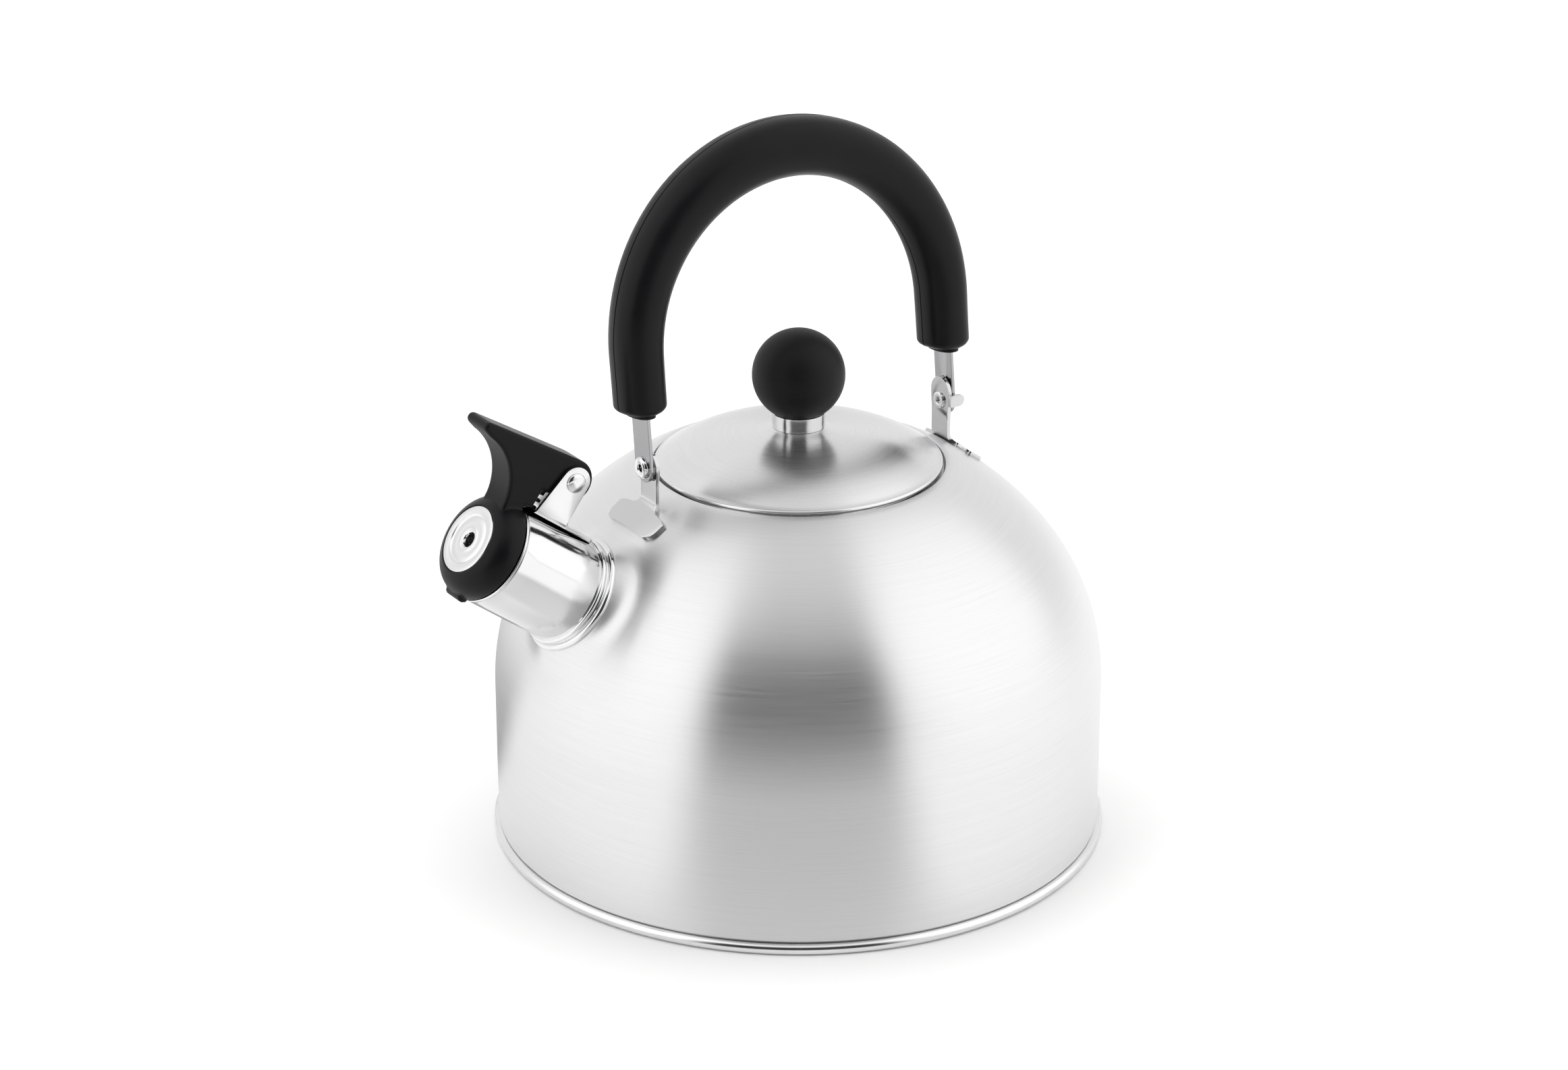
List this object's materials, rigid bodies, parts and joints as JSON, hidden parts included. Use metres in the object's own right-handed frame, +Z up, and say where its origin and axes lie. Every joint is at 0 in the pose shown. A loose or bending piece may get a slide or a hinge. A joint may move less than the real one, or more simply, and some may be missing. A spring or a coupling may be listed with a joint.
{
  "type": "stovetop whistling kettle",
  "caption": "Domed steel stovetop kettle with a folding bail handle, a lift-off lid with a ball knob and a sprung whistle cap on a slanted spout.",
  "frame": {"origin": "centre of the flat base, on the surface the kettle stands on", "axes": "+Z up, spout towards -X, the handle pivots lie on a line along X, +Y is the side the handle folds to"},
  "size_m": [0.2189, 0.1932, 0.2275],
  "materials": {
    "satin_steel": "satin, fine horizontal brushing",
    "lid_steel": "satin, circular brushing, polished edge",
    "rim_steel": "bright rolled rim",
    "base_steel": "turned satin",
    "disc_core": "plain",
    "mirror_steel": "mirror polish",
    "bracket_steel": "bright, pressed",
    "strap_steel": "bright strip",
    "inner_steel": "plain drawn steel",
    "spring_wire": "drawn wire",
    "cap_plastic": "moulded phenolic, fine matte",
    "grip_plastic": "moulded, soft sheen",
    "knob_plastic": "moulded, fine grain"
  },
  "bodies": {
    "kettle": {"body_shell": "satin_steel", "base_pan": "rim_steel", "heat_core": "disc_core", "base_cap": "base_steel", "spout_boss": "satin_steel", "spout_tube": "mirror_steel", "spout_collar": "mirror_steel", "hinge_bracket": "mirror_steel", "hinge_pin": "mirror_steel", "closing_spring": "spring_wire", "front_bracket": "bracket_steel", "rear_bracket": "bracket_steel", "front_washer": "inner_steel", "rear_washer": "inner_steel", "front_rivet": "mirror_steel", "rear_rivet": "mirror_steel"},
    "handle": {"handle_strap": "strap_steel", "grip_near_half": "grip_plastic", "grip_far_half": "grip_plastic"},
    "whistle": {"cap_lever": "cap_plastic", "whistle_front_disc": "mirror_steel", "whistle_spacer": "inner_steel", "whistle_rear_disc": "inner_steel"},
    "lid": {"lid_cover": "lid_steel", "lid_skirt": "inner_steel", "knob_ferrule": "mirror_steel", "lid_knob": "knob_plastic", "knob_screw": "inner_steel", "screw_washer": "inner_steel"}
  },
  "joints": [
    {"name": "handle_fold", "type": "hinge", "parent": "kettle", "child": "handle", "pos_m": [0, 0, 0.1297], "axis": [-1, 0, 0], "range_deg": [-6.5, 96]},
    {"name": "whistle_open", "type": "hinge", "parent": "kettle", "child": "whistle", "pos_m": [-0.08258, 0, 0.13301], "axis": [0, 1, 0], "range_deg": [0, 50], "stiffness_Nm_per_rad": 0.06, "springref_deg": -40.11, "deforming": ["closing_spring"]},
    {"name": "lid_lift", "type": "slide", "parent": "kettle", "child": "lid", "axis": [0, 0, 1], "range_m": [0, 0.04]}
  ]
}
